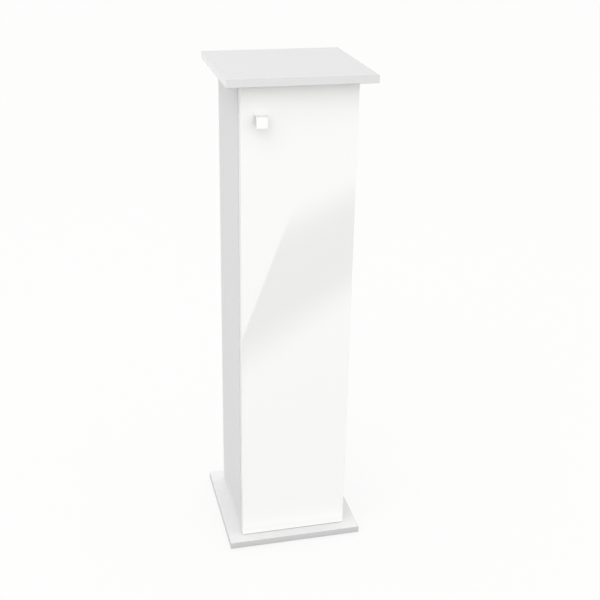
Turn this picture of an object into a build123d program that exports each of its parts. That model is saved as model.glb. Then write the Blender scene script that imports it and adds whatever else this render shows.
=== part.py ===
"""Display plinth: a slim white cupboard column between two square plates.

Millimetres, +Z up. The origin is the centre of the underside, where the glides meet the
floor. The door faces -Y. It turns on two upright pins near its +X edge, and its free edge,
with the knob, is on the -X side. Left is -X and right is +X.
"""
import os
from math import radians, tan
from build123d import *

# Boards
plate_width = 315.0            # top and base plates, along X
plate_depth = 315.0            # top and base plates, along Y
plate_thickness = 16.0
body_width = 250.0             # outside of the two side panels
body_depth = 256.0             # carcass, door gap and door together
rear_overhang = 32.5           # plates behind the carcass
body_height = 1080.0           # clear height between the plates
panel_thickness = 16.0
shelf_thickness = 16.0
door_thickness = 22.0
back_thickness = 3.0
edge_round = 0.8               # edge band rounding on every board

# Door and its pivots
door_gap = 1.5                 # between the door's back and the carcass front
door_reveal = 1.0              # how far each door edge stays inside the panel faces
door_clearance = 1.0           # above and below the door
hinge_edge_round = 5.0         # back corner of the hinge edge, so that it can turn
pivot_inset = 8.0              # pin centre from the hinge edge
pivot_radius = 3.0
pivot_chamfer = 0.6
pivot_in_door = 20.0
pivot_in_bush = 8.6
bush_radius = 5.0
bush_length = 10.0
bush_floor = 1.0
flange_radius = 6.5

# Knob
knob_width = 24.0
knob_height = 22.8
knob_projection = 23.0
knob_root = 11.0               # height of the knob where it meets the door
knob_lip = 4.5                 # thickness of the front at its lower edge
knob_hollow = 1.4              # how far the underside bows in, back and up
knob_edge_round = 0.7
knob_from_free_edge = 40.0     # knob centre from the door's free edge
knob_from_top = 72.4           # knob centre below the door's top edge
knob_screw_radius = 2.0
knob_screw_grip = 12.0         # thread inside the knob
knob_screw_head_radius = 4.5
knob_screw_head = 2.6

# Back panel and shelves
back_inset = 12.0              # from the rear of the side panels to the back panel
groove_depth = 7.0
groove_clearance = 0.2
back_side_clearance = 0.5
shelf_setback = 3.0            # loose shelves, behind the carcass front
shelf_side_clearance = 0.75
shelf_back_clearance = 1.0
fixed_shelf_height = 528.0     # underside of the fixed shelf above the base plate
hole_pitch = 32.0
holes_in_row = 7
row_inset = 37.0               # front row from the carcass front, rear row from the back panel
lower_row_start = 170.0        # lowest hole of the lower rows above the base plate
upper_row_start = 150.0        # lowest hole of the upper rows above the fixed shelf
lower_shelf_hole = 3           # the hole, counted from 0, that carries the lower shelf
upper_shelf_hole = 3

# Shelf pins
pin_radius = 2.5
pin_in_panel = 9.0
pin_collar_radius = 4.0
pin_collar = 1.4
pin_tongue_width = 7.6
pin_tongue_thickness = 3.0
pin_tongue_length = 10.0
pin_tongue_round = 2.5

# Cam fittings and dowels
cam_radius = 7.5
cam_inset = 34.0               # cam centre from the board edge that the bolt enters
cam_wall = 1.0                 # cam metal behind the bolt head
bolt_radius = 3.5
bolt_neck_radius = 2.2
bolt_neck = 5.0
bolt_head = 3.0
bolt_thread_radius = 2.5
bolt_thread = 11.0
cap_radius = 8.5
cap_thickness = 0.8
dowel_radius = 4.0
dowel_in_face = 11.0
dowel_in_edge = 20.0
cam_spread = 70.0              # cams each side of the carcass middle, along Y
dowel_spread = 35.0
slot_width = 1.6
slot_depth = 2.4
slot_length = 7.0
screw_cross = 5.4              # driver cross in the knob screw's head
screw_slot = 0.8

# Magnetic catch
catch_length = 46.0
catch_depth = 15.0
catch_height = 13.0
catch_round = 3.0
catch_from_panel = 12.0        # from the free side's panel to the catch body
catch_setback = 1.5            # catch body behind the carcass front
magnet_length = 24.0
magnet_depth = 9.0
magnet_thickness = 4.0
pole_thickness = 1.2
strike_thickness = 1.2
strike_length = 38.0
strike_height = 12.0
strike_round = 3.0
catch_screw_radius = 1.5
catch_screw_head_radius = 2.9
catch_screw_head = 1.6
countersink_angle = 82.0
catch_screw_in_plate = 9.0
strike_screw_in_door = 10.0

# Glides and buffers
glide_radius = 9.0
glide_height = 2.5
glide_chamfer = 0.6
glide_nail_radius = 1.0
glide_nail = 10.0
glide_inset = 22.0             # glide centre from both edges of the base plate
buffer_radius = 4.0
buffer_round = 1.0
buffer_inset = 40.0            # buffers from the top and the bottom of the left panel

# Clearances
seat = 0.05                    # round a piece that is pressed, glued or screwed into its hole
running = 0.05                 # round a pivot pin in its bush
end_gap = 0.3                  # beyond the end of a pin, dowel or screw
slack = 0.1                    # between faces that pass or meet when the door turns

# Levels and faces worked out from the sizes above
base_top = glide_height + plate_thickness
top_under = base_top + body_height
inner_half = body_width / 2 - panel_thickness
carcass_rear = plate_depth / 2 - rear_overhang
door_front = carcass_rear - body_depth
door_back = door_front + door_thickness
carcass_front = door_back + door_gap
carcass_depth = carcass_rear - carcass_front
carcass_middle = (carcass_front + carcass_rear) / 2
back_face = carcass_rear - back_inset - back_thickness
door_half = body_width / 2 - door_reveal
door_bottom = base_top + door_clearance
door_top = top_under - door_clearance
door_height = door_top - door_bottom
pivot_x = door_half - pivot_inset
pivot_y = (door_front + door_back) / 2
shelf_base = base_top + fixed_shelf_height
cam_rows = [carcass_middle - cam_spread, carcass_middle + cam_spread]
dowel_rows = [carcass_middle - dowel_spread, carcass_middle + dowel_spread]
hole_rows = [carcass_front + row_inset, back_face - row_inset]
lower_holes = [base_top + lower_row_start + i * hole_pitch for i in range(holes_in_row)]
upper_start = shelf_base + shelf_thickness + upper_row_start
upper_holes = [upper_start + i * hole_pitch for i in range(holes_in_row)]
pin_top = pin_tongue_thickness / 2
sides = {"left": -1, "right": 1}
panel_middle = body_width / 2 - panel_thickness / 2
panel_cam_depth = panel_thickness / 2 + bolt_radius + cam_wall
shelf_cam_depth = shelf_thickness / 2 + bolt_radius + cam_wall
shelf_middle = shelf_base + shelf_thickness / 2
shelf_depth = back_face - shelf_back_clearance - carcass_front - shelf_setback
shelf_y = carcass_front + shelf_setback + shelf_depth / 2
loose_width = 2 * (inner_half - shelf_side_clearance)
shelf_levels = {
    "lower": lower_holes[lower_shelf_hole] + pin_top,
    "upper": upper_holes[upper_shelf_hole] + pin_top,
}
knob_x = -door_half + knob_from_free_edge
knob_z = door_top - knob_from_top
catch_middle = -inner_half + catch_from_panel + catch_length / 2
catch_front = carcass_front + catch_setback
catch_y = catch_front + catch_depth / 2
catch_z = top_under - catch_height / 2
catch_screw_xs = [catch_middle + s * (catch_length + magnet_length) / 4 for s in (-1, 1)]
glide_x = plate_width / 2 - glide_inset
glide_y = plate_depth / 2 - glide_inset
glide_places = {
    "front_left": (-glide_x, -glide_y),
    "front_right": (glide_x, -glide_y),
    "rear_left": (-glide_x, glide_y),
    "rear_right": (glide_x, glide_y),
}

os.makedirs("parts", exist_ok=True)


def inner_face(side, y, z):
    """A plane on a side panel's inner face that looks into the cupboard."""
    return Plane(origin=(side * inner_half, y, z), z_dir=(-side, 0, 0))


def outward(side, y, z):
    """The same plane, looking out towards the side panel."""
    return Plane(origin=(side * inner_half, y, z), z_dir=(side, 0, 0))


def door_back_plane(x, z):
    """A plane on the door's back face that looks into the cupboard."""
    return Plane(origin=(x, door_back, z), z_dir=(0, 1, 0))


def upward(x, y, z):
    """A level plane that looks up."""
    return Plane(origin=(x, y, z), z_dir=(0, 0, 1))


def downward(x, y, z):
    """A level plane that looks down."""
    return Plane(origin=(x, y, z), z_dir=(0, 0, -1))


def stack(steps):
    """Add cylinders end to end out of the current planes; a step is (radius, length)."""
    height = 0.0
    for radius, length in steps:
        with Locations((0, 0, height)):
            Cylinder(radius, length, align=(Align.CENTER, Align.CENTER, Align.MIN))
        height += length


def board(width, depth, thickness, x, y, z):
    """A level board with rounded edge bands, its underside centred on x, y, z."""
    with BuildPart() as piece:
        with BuildSketch(Plane.XY.offset(z)):
            with Locations((x, y)):
                Rectangle(width, depth)
        extrude(amount=thickness)
        fillet(piece.edges(), edge_round)
    return piece.part


# Plates -------------------------------------------------------------------------------------

with BuildPart() as top_plate:
    add(board(plate_width, plate_depth, plate_thickness, 0, 0, top_under))
    with Locations(*[downward(s * panel_middle, y, top_under) for s in (-1, 1) for y in cam_rows]):
        Hole(bolt_thread_radius + seat, bolt_thread + end_gap)
    with Locations(*[downward(s * panel_middle, y, top_under) for s in (-1, 1) for y in dowel_rows]):
        Hole(dowel_radius + seat, dowel_in_face + end_gap)
    with Locations(downward(pivot_x, pivot_y, top_under)):
        Hole(bush_radius + seat, bush_length + end_gap)
    with Locations(*[downward(x, catch_y, top_under) for x in catch_screw_xs]):
        Hole(catch_screw_radius + seat, catch_screw_in_plate + end_gap)
top_plate.part.label = "top_plate"
export_step(top_plate.part, "parts/top_plate.step")

with BuildPart() as base_plate:
    add(board(plate_width, plate_depth, plate_thickness, 0, 0, glide_height))
    with Locations(*[upward(s * panel_middle, y, base_top) for s in (-1, 1) for y in cam_rows]):
        Hole(bolt_thread_radius + seat, bolt_thread + end_gap)
    with Locations(*[upward(s * panel_middle, y, base_top) for s in (-1, 1) for y in dowel_rows]):
        Hole(dowel_radius + seat, dowel_in_face + end_gap)
    with Locations(upward(pivot_x, pivot_y, base_top)):
        Hole(bush_radius + seat, bush_length + end_gap)
    with Locations(*[downward(x, y, glide_height) for x, y in glide_places.values()]):
        Hole(glide_nail_radius + seat, glide_nail + end_gap)
base_plate.part.label = "base_plate"
export_step(base_plate.part, "parts/base_plate.step")

# Side panels --------------------------------------------------------------------------------


def side_panel(side):
    """One side of the carcass, with its groove, shelf pin holes and fitting bores."""
    middle = side * panel_middle
    with BuildPart() as panel:
        with BuildSketch(Plane.XY.offset(base_top)):
            with Locations((middle, carcass_middle)):
                Rectangle(panel_thickness, carcass_depth)
        extrude(amount=body_height)
        fillet(panel.edges().filter_by(Axis.Z), edge_round)
        with BuildSketch(Plane.XY.offset(base_top)):
            with Locations((side * (inner_half + groove_depth / 2), back_face + back_thickness / 2)):
                Rectangle(groove_depth, back_thickness + 2 * groove_clearance)
        extrude(amount=body_height, mode=Mode.SUBTRACT)
        with Locations(*[inner_face(side, y, z) for y in hole_rows for z in lower_holes + upper_holes]):
            Hole(pin_radius + seat, pin_in_panel + end_gap)
        cam_levels = [base_top + cam_inset, top_under - cam_inset]
        with Locations(*[inner_face(side, y, z) for y in cam_rows for z in cam_levels]):
            Hole(cam_radius + seat, panel_cam_depth + end_gap)
        with Locations(*[upward(middle, y, top_under) for y in cam_rows]):
            Hole(bolt_radius + seat, cam_inset)
        with Locations(*[downward(middle, y, base_top) for y in cam_rows]):
            Hole(bolt_radius + seat, cam_inset)
        with Locations(*[upward(middle, y, top_under) for y in dowel_rows]):
            Hole(dowel_radius + seat, dowel_in_edge + end_gap)
        with Locations(*[downward(middle, y, base_top) for y in dowel_rows]):
            Hole(dowel_radius + seat, dowel_in_edge + end_gap)
        with Locations(*[inner_face(side, y, shelf_middle) for y in cam_rows]):
            Hole(bolt_thread_radius + seat, bolt_thread + end_gap)
        with Locations(*[inner_face(side, y, shelf_middle) for y in dowel_rows]):
            Hole(dowel_radius + seat, dowel_in_face + end_gap)
    return panel


for name, side in sides.items():
    panel = side_panel(side)
    panel.part.label = f"side_panel_{name}"
    export_step(panel.part, f"parts/side_panel_{name}.step")

# Back panel and shelves ---------------------------------------------------------------------

with BuildPart() as back_panel:
    with BuildSketch(Plane.XY.offset(base_top)):
        with Locations((0, back_face + back_thickness / 2)):
            Rectangle(2 * (inner_half + groove_depth - back_side_clearance), back_thickness)
    extrude(amount=body_height)
back_panel.part.label = "back_panel"
export_step(back_panel.part, "parts/back_panel.step")

with BuildPart() as fixed_shelf:
    add(board(2 * inner_half, shelf_depth, shelf_thickness, 0, shelf_y, shelf_base))
    for side in (-1, 1):
        with Locations(*[downward(side * (inner_half - cam_inset), y, shelf_base) for y in cam_rows]):
            Hole(cam_radius + seat, shelf_cam_depth + end_gap)
        with Locations(*[outward(side, y, shelf_middle) for y in cam_rows]):
            Hole(bolt_radius + seat, cam_inset)
        with Locations(*[outward(side, y, shelf_middle) for y in dowel_rows]):
            Hole(dowel_radius + seat, dowel_in_edge + end_gap)
fixed_shelf.part.label = "fixed_shelf"
export_step(fixed_shelf.part, "parts/fixed_shelf.step")

for name, level in shelf_levels.items():
    with BuildPart() as loose_shelf:
        add(board(loose_width, shelf_depth, shelf_thickness, 0, shelf_y, level))
    loose_shelf.part.label = f"{name}_shelf"
    export_step(loose_shelf.part, f"parts/{name}_shelf.step")

# Shelf pins: a round shank in the panel, a collar and a flat tongue under the shelf -----------


def shelf_pin(side, y, z):
    """One shelf pin, with its tongue reaching in from the panel."""
    with BuildPart() as pin:
        with Locations(inner_face(side, y, z)):
            Cylinder(pin_collar_radius, pin_collar, align=(Align.CENTER, Align.CENTER, Align.MIN))
            Cylinder(pin_radius, pin_in_panel, align=(Align.CENTER, Align.CENTER, Align.MAX))
        with BuildSketch(Plane.XY.offset(z + pin_top)):
            with Locations((side * (inner_half - pin_collar_radius), y)):
                Rectangle(2 * pin_collar_radius, 2 * pin_collar_radius)
        extrude(amount=pin_collar_radius, mode=Mode.SUBTRACT)
        with BuildSketch(Plane.XY.offset(z - pin_top)):
            with Locations((side * (inner_half - pin_tongue_length / 2), y)):
                Rectangle(pin_tongue_length, pin_tongue_width)
        extrude(amount=pin_tongue_thickness)
        tongue_end = pin.faces().sort_by(Axis.X)[0 if side > 0 else -1]
        fillet(tongue_end.edges().filter_by(Axis.Z), pin_tongue_round)
    return pin


for name, level in shelf_levels.items():
    for side_name, side in sides.items():
        for row_name, y in zip(("front", "rear"), hole_rows):
            pin = shelf_pin(side, y, level - pin_top)
            pin.part.label = f"{name}_shelf_pin_{row_name}_{side_name}"
            export_step(pin.part, f"parts/{name}_shelf_pin_{row_name}_{side_name}.step")

# Cam bolts, cams, caps and dowels -----------------------------------------------------------

bolt_steps = [
    (bolt_radius, cam_inset - bolt_neck - bolt_head / 2),
    (bolt_neck_radius, bolt_neck),
    (bolt_radius, bolt_head),
]


def bolts(planes):
    """Cam bolts: threaded below each plane and plain above it, up to the cam's centre."""
    with BuildPart() as piece:
        with Locations(*planes):
            stack(bolt_steps)
            Cylinder(bolt_thread_radius, bolt_thread, align=(Align.CENTER, Align.CENTER, Align.MAX))
    return piece


def cams(planes, depth, entry):
    """Cams sunk behind each plane, with a driver cross and a channel for the bolt head.

    The entry is the unit direction from the cam's centre to the bolt's side of the board.
    """
    channel = 2 * (bolt_radius + end_gap)
    reach = cam_radius + end_gap
    with BuildPart() as piece:
        with Locations(*planes):
            Cylinder(cam_radius, depth, align=(Align.CENTER, Align.CENTER, Align.MAX))
            for turn in (45, 135):
                Box(slot_length, slot_width, 2 * slot_depth, rotation=(0, 0, turn), mode=Mode.SUBTRACT)
        for plane in planes:
            middle = plane.origin - plane.z_dir * (depth - cam_wall - bolt_radius)
            for along in (0.0, reach / 2):
                with Locations(Plane(origin=middle + entry(plane) * along, z_dir=entry(plane))):
                    Box(channel, channel, reach, mode=Mode.SUBTRACT)
    return piece


def caps(planes):
    """Thin cover caps over the cams."""
    with BuildPart() as piece:
        with Locations(*planes):
            Cylinder(cap_radius, cap_thickness, align=(Align.CENTER, Align.CENTER, Align.MIN))
    return piece


def dowels(planes):
    """Wooden dowels: part below each plane in a board's face, part above it in an edge."""
    with BuildPart() as piece:
        with Locations(*planes):
            Cylinder(dowel_radius, dowel_in_edge, align=(Align.CENTER, Align.CENTER, Align.MIN))
            Cylinder(dowel_radius, dowel_in_face, align=(Align.CENTER, Align.CENTER, Align.MAX))
    return piece


def to_level(level):
    """The entry direction of upright bolts: from the cam towards a level."""
    return lambda plane: Vector(0, 0, 1 if level > plane.origin.Z else -1)


def to_panel(plane):
    """The entry direction of level bolts: from the cam towards the nearer panel."""
    return Vector(1 if plane.origin.X > 0 else -1, 0, 0)


joints = {
    "top": {
        "bolts": [downward(s * panel_middle, y, top_under) for s in (-1, 1) for y in cam_rows],
        "dowels": [downward(s * panel_middle, y, top_under) for s in (-1, 1) for y in dowel_rows],
        "cams": [inner_face(s, y, top_under - cam_inset) for s in (-1, 1) for y in cam_rows],
        "depth": panel_cam_depth,
        "entry": to_level(top_under),
    },
    "base": {
        "bolts": [upward(s * panel_middle, y, base_top) for s in (-1, 1) for y in cam_rows],
        "dowels": [upward(s * panel_middle, y, base_top) for s in (-1, 1) for y in dowel_rows],
        "cams": [inner_face(s, y, base_top + cam_inset) for s in (-1, 1) for y in cam_rows],
        "depth": panel_cam_depth,
        "entry": to_level(base_top),
    },
    "shelf": {
        "bolts": [inner_face(s, y, shelf_middle) for s in (-1, 1) for y in cam_rows],
        "dowels": [inner_face(s, y, shelf_middle) for s in (-1, 1) for y in dowel_rows],
        "cams": [downward(s * (inner_half - cam_inset), y, shelf_base) for s in (-1, 1) for y in cam_rows],
        "depth": shelf_cam_depth,
        "entry": to_panel,
    },
}
for name, joint in joints.items():
    pieces = {
        "cam_bolts": bolts(joint["bolts"]),
        "cams": cams(joint["cams"], joint["depth"], joint["entry"]),
        "cam_caps": caps(joint["cams"]),
        "dowels": dowels(joint["dowels"]),
    }
    for kind, piece in pieces.items():
        piece.part.label = f"{name}_{kind}"
        export_step(piece.part, f"parts/{name}_{kind}.step")

# Door, knob and pivots ----------------------------------------------------------------------

with BuildPart() as door_panel:
    with BuildSketch(Plane.XY.offset(door_bottom)):
        with Locations((0, pivot_y)):
            Rectangle(2 * door_half, door_thickness)
    extrude(amount=door_height)
    turning_edge = door_panel.edges().filter_by(Axis.Z).group_by(Axis.X)[-1].sort_by(Axis.Y)[-1]
    fillet(turning_edge, hinge_edge_round)
    front_edges = door_panel.faces().sort_by(Axis.Y)[0].edges()
    fillet(front_edges, edge_round)
    with Locations(upward(pivot_x, pivot_y, door_top), downward(pivot_x, pivot_y, door_bottom)):
        Hole(pivot_radius + seat, pivot_in_door + end_gap)
    with Locations(door_back_plane(knob_x, knob_z)):
        Hole(knob_screw_radius + seat, door_thickness)
    with Locations(door_back_plane(catch_middle, catch_z)):
        Hole(catch_screw_radius + seat, strike_screw_in_door + end_gap)
door_panel.part.label = "door_panel"
export_step(door_panel.part, "parts/door_panel.step")

with BuildPart() as door_knob:
    with BuildSketch(Plane.YZ.offset(knob_x - knob_width / 2)):
        with BuildLine():
            top_line = knob_z + knob_height / 2
            low_line = knob_z - knob_height / 2
            root = (door_front, top_line - knob_root)
            lip = (door_front - knob_projection + knob_lip, low_line)
            front = door_front - knob_projection
            Polyline(root, (door_front, top_line), (front, top_line), (front, low_line), lip)
            bow = ((root[0] + lip[0]) / 2 - knob_hollow, (root[1] + lip[1]) / 2 + knob_hollow)
            ThreePointArc(lip, bow, root)
        make_face()
    extrude(amount=knob_width)
    front_face = door_knob.faces().sort_by(Axis.Y)[0]
    fillet(front_face.edges(), knob_edge_round)
    with Locations(Plane(origin=(knob_x, door_front, knob_z), z_dir=(0, 1, 0))):
        Hole(knob_screw_radius + seat, knob_screw_grip + end_gap)
door_knob.part.label = "door_knob"
export_step(door_knob.part, "parts/door_knob.step")

with BuildPart() as knob_screw:
    with Locations(door_back_plane(knob_x, knob_z)):
        Cylinder(knob_screw_head_radius, knob_screw_head, align=(Align.CENTER, Align.CENTER, Align.MIN))
        shank = door_thickness + knob_screw_grip
        Cylinder(knob_screw_radius, shank, align=(Align.CENTER, Align.CENTER, Align.MAX))
    head_rim = knob_screw.edges().filter_by(GeomType.CIRCLE).sort_by(Axis.Y)[-1]
    fillet(head_rim, knob_screw_head / 2)
    with Locations((knob_x, door_back + knob_screw_head, knob_z)):
        for turn in (0, 90):
            Box(screw_cross, 2 * slot_width, screw_slot, rotation=(0, turn, 0), mode=Mode.SUBTRACT)
knob_screw.part.label = "knob_screw"
export_step(knob_screw.part, "parts/knob_screw.step")

pivots = {
    "top": (upward(pivot_x, pivot_y, door_top), downward(pivot_x, pivot_y, top_under)),
    "base": (downward(pivot_x, pivot_y, door_bottom), upward(pivot_x, pivot_y, base_top)),
}
flange = door_clearance - slack
pin_reach = door_clearance + pivot_in_bush
for name, (door_plane, plate_plane) in pivots.items():
    with BuildPart() as pivot_pin:
        with Locations(door_plane):
            Cylinder(pivot_radius, pivot_in_door, align=(Align.CENTER, Align.CENTER, Align.MAX))
            Cylinder(pivot_radius, pin_reach, align=(Align.CENTER, Align.CENTER, Align.MIN))
        chamfer(pivot_pin.edges().filter_by(GeomType.CIRCLE), pivot_chamfer)
    pivot_pin.part.label = f"pivot_pin_{name}"
    export_step(pivot_pin.part, f"parts/pivot_pin_{name}.step")
    with BuildPart() as pivot_bush:
        with Locations(plate_plane):
            Cylinder(bush_radius, bush_length, align=(Align.CENTER, Align.CENTER, Align.MAX))
            Cylinder(flange_radius, flange, align=(Align.CENTER, Align.CENTER, Align.MIN))
            with Locations((0, 0, flange)):
                Hole(pivot_radius + running, flange + bush_length - bush_floor)
    pivot_bush.part.label = f"pivot_bush_{name}"
    export_step(pivot_bush.part, f"parts/pivot_bush_{name}.step")

# Magnetic catch under the top plate, and its strike on the door ------------------------------

pole_reach = catch_setback + door_gap - strike_thickness - slack
pocket_height = magnet_thickness + 2 * pole_thickness
with BuildPart() as catch_body:
    with BuildSketch(Plane.XY.offset(top_under - catch_height)):
        with Locations((catch_middle, catch_y)):
            Rectangle(catch_length, catch_depth)
    extrude(amount=catch_height)
    fillet(catch_body.edges().filter_by(Axis.Z), catch_round)
    with BuildSketch(Plane.XY.offset(catch_z - pocket_height / 2)):
        with Locations((catch_middle, catch_front + magnet_depth / 2)):
            Rectangle(magnet_length, magnet_depth)
    extrude(amount=pocket_height, mode=Mode.SUBTRACT)
    with Locations(*[downward(x, catch_y, top_under - catch_height) for x in catch_screw_xs]):
        CounterBoreHole(catch_screw_radius + seat, catch_screw_head_radius + seat, catch_screw_head)
catch_body.part.label = "catch_body"
export_step(catch_body.part, "parts/catch_body.step")

with BuildPart() as catch_magnet:
    with BuildSketch(Plane.XY.offset(catch_z - magnet_thickness / 2)):
        with Locations((catch_middle, catch_front + magnet_depth / 2)):
            Rectangle(magnet_length, magnet_depth)
    extrude(amount=magnet_thickness)
catch_magnet.part.label = "catch_magnet"
export_step(catch_magnet.part, "parts/catch_magnet.step")

with BuildPart() as catch_poles:
    for low in (catch_z - pocket_height / 2, catch_z + magnet_thickness / 2):
        with BuildSketch(Plane.XY.offset(low)):
            with Locations((catch_middle, catch_front + (magnet_depth - pole_reach) / 2)):
                Rectangle(magnet_length, magnet_depth + pole_reach)
        extrude(amount=pole_thickness)
catch_poles.part.label = "catch_poles"
export_step(catch_poles.part, "parts/catch_poles.step")

catch_screw_length = catch_height - catch_screw_head + catch_screw_in_plate
with BuildPart() as catch_screws:
    head_level = top_under - catch_height + catch_screw_head
    with Locations(*[downward(x, catch_y, head_level) for x in catch_screw_xs]):
        Cylinder(catch_screw_head_radius, catch_screw_head, align=(Align.CENTER, Align.CENTER, Align.MIN))
        Cylinder(catch_screw_radius, catch_screw_length, align=(Align.CENTER, Align.CENTER, Align.MAX))
catch_screws.part.label = "catch_screws"
export_step(catch_screws.part, "parts/catch_screws.step")

with BuildPart() as catch_strike:
    with BuildSketch(Plane.XZ.offset(-door_back)):
        with Locations((catch_middle, catch_z)):
            RectangleRounded(strike_length, strike_height, strike_round)
    extrude(amount=-strike_thickness)
    with Locations(door_back_plane(catch_middle, catch_z).offset(strike_thickness)):
        CounterSinkHole(
            catch_screw_radius + seat,
            catch_screw_head_radius + seat,
            counter_sink_angle=countersink_angle,
        )
catch_strike.part.label = "catch_strike"
export_step(catch_strike.part, "parts/catch_strike.step")

head_root = catch_screw_head_radius - strike_thickness * tan(radians(countersink_angle / 2))
with BuildPart() as strike_screw:
    with Locations(door_back_plane(catch_middle, catch_z)):
        Cylinder(catch_screw_radius, strike_screw_in_door, align=(Align.CENTER, Align.CENTER, Align.MAX))
        Cone(
            head_root,
            catch_screw_head_radius,
            strike_thickness,
            align=(Align.CENTER, Align.CENTER, Align.MIN),
        )
strike_screw.part.label = "strike_screw"
export_step(strike_screw.part, "parts/strike_screw.step")

# Glides under the base plate and soft buffers behind the door's free edge ---------------------

for name, (x, y) in glide_places.items():
    with BuildPart() as glide:
        with Locations(downward(x, y, glide_height)):
            Cylinder(glide_radius, glide_height, align=(Align.CENTER, Align.CENTER, Align.MIN))
            Cylinder(glide_nail_radius, glide_nail, align=(Align.CENTER, Align.CENTER, Align.MAX))
        foot_rim = glide.edges().filter_by(GeomType.CIRCLE).sort_by(Axis.Z)[0]
        chamfer(foot_rim, glide_chamfer)
    glide.part.label = f"glide_{name}"
    export_step(glide.part, f"parts/glide_{name}.step")

buffer_levels = {"top": top_under - buffer_inset, "base": base_top + buffer_inset}
for name, level in buffer_levels.items():
    with BuildPart() as buffer:
        with Locations(Plane(origin=(-panel_middle, carcass_front, level), z_dir=(0, -1, 0))):
            Cylinder(buffer_radius, door_gap - slack, align=(Align.CENTER, Align.CENTER, Align.MIN))
        face_rim = buffer.edges().filter_by(GeomType.CIRCLE).sort_by(Axis.Y)[0]
        fillet(face_rim, buffer_round)
    buffer.part.label = f"door_buffer_{name}"
    export_step(buffer.part, f"parts/door_buffer_{name}.step")
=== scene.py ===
# %% [markdown]
# # A white display plinth
#
# A display plinth is a slim cupboard that lifts an exhibit to table height or above. This one
# is flat-pack furniture: a glossy door on two pivot pins, a carcass of faced chipboard, and a
# larger square plate above and below. The drawn model gives every board its size and place.
# This script adds what the eye reads: the finishes, the small fittings and the studio.

import math

import bmesh
import bpy
from mathutils import Matrix, Vector


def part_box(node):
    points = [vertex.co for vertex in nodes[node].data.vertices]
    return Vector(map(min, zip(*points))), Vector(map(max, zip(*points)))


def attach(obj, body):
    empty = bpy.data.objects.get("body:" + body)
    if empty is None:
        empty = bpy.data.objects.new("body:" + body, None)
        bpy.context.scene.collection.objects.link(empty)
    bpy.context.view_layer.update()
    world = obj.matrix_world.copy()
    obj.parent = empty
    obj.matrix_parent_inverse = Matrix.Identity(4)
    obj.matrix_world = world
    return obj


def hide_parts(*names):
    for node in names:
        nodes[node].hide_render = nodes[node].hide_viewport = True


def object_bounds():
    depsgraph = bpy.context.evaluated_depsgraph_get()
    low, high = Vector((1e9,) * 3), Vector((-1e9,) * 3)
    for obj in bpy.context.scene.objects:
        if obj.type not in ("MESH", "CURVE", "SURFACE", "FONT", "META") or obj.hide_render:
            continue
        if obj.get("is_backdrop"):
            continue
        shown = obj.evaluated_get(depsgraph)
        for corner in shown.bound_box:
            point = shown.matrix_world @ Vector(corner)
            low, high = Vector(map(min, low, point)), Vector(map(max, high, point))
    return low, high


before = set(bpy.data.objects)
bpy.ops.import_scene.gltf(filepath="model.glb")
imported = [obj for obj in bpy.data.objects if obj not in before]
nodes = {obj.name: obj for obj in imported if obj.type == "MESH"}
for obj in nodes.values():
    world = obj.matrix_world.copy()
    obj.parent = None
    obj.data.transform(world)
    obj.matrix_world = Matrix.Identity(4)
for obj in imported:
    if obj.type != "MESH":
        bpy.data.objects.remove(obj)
drawn_low, drawn_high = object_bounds()
MM = 0.001
print(f"{len(nodes)} drawn nodes, {drawn_high.z - drawn_low.z:.4f} m tall")

# %% [markdown]
# ## A small language for finishes
#
# A finish is arithmetic on coordinates: how deep a point lies in a board, how near an edge it
# is, how the grain runs. Wiring that by hand hides the thought. So a socket is wrapped in a
# class whose operators add the Math nodes, and every other kind of node comes from one method.

# %% Wires and finishes
MIX_FIRST = 6
MIX_SECOND = 7
MIX_COLOUR = 2


class Wire:
    """One output socket. Arithmetic on it adds Math nodes to the tree it belongs to."""

    def __init__(self, owner, socket):
        self.owner = owner
        self.socket = socket

    def math(self, operation, *values):
        return self.owner.node("Math", {"operation": operation}, list(values))

    def least(self, other):
        return self.math("MINIMUM", self, other)

    def sign(self):
        return self.math("SIGN", self)

    def __add__(self, other):
        return self.math("ADD", self, other)

    def __sub__(self, other):
        return self.math("SUBTRACT", self, other)

    def __rsub__(self, other):
        return self.math("SUBTRACT", other, self)

    def __mul__(self, other):
        return self.math("MULTIPLY", self, other)

    def __truediv__(self, other):
        return self.math("DIVIDE", self, other)

    def __rtruediv__(self, other):
        return self.math("DIVIDE", other, self)

    def __mod__(self, other):
        return self.math("MODULO", self, other)

    def __abs__(self):
        return self.math("ABSOLUTE", self)

    __radd__ = __add__
    __rmul__ = __mul__


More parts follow.
